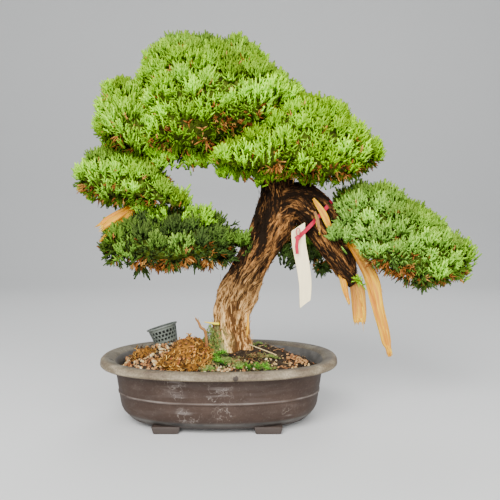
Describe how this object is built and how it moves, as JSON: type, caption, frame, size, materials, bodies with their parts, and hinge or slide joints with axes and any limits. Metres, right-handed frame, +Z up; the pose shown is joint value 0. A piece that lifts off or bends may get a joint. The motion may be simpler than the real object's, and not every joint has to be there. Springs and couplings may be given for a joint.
{
  "type": "shimpaku juniper bonsai",
  "caption": "Shimpaku juniper bonsai: a leaning trunk with cascading foliage pads and torn deadwood, in an oval plastic training pot.",
  "frame": {"origin": "under the middle of the whole tree's box, on the surface that the pot stands on", "axes": "+X to the right as seen from the front, along the pot's long side; +Y to the back; +Z up"},
  "size_m": [0.5692, 0.24, 0.5391],
  "materials": {
    "pot_plastic": "matte",
    "screen_plastic": "matte",
    "soil_mix": "matte",
    "dry_moss": "matte",
    "live_moss": "matte",
    "bark": "matte",
    "dead_wood": "matte",
    "basket_plastic": "matte",
    "label_plastic": "satin",
    "strap_plastic": "satin",
    "foliage_green": "matte",
    "foliage_bluish": "matte"
  },
  "bodies": {
    "root": {"pot": "pot_plastic", "drain_screen_left": "screen_plastic", "drain_screen_right": "screen_plastic", "soil": "soil_mix", "sphagnum_mound": "dry_moss", "sphagnum_clump": "dry_moss", "moss_tuft_left": "live_moss", "moss_tuft_right": "live_moss", "trunk": "bark", "dead_twig": "dead_wood", "fertiliser_basket": "basket_plastic", "plant_label": "label_plastic", "label_strap": "strap_plastic", "foliage_crown": "foliage_green", "foliage_upper_left": "foliage_green", "foliage_upper_right": "foliage_green", "foliage_left_middle": "foliage_green", "foliage_left_lower": "foliage_bluish", "foliage_right": "foliage_bluish", "foliage_back": "foliage_bluish"}
  },
  "joints": []
}
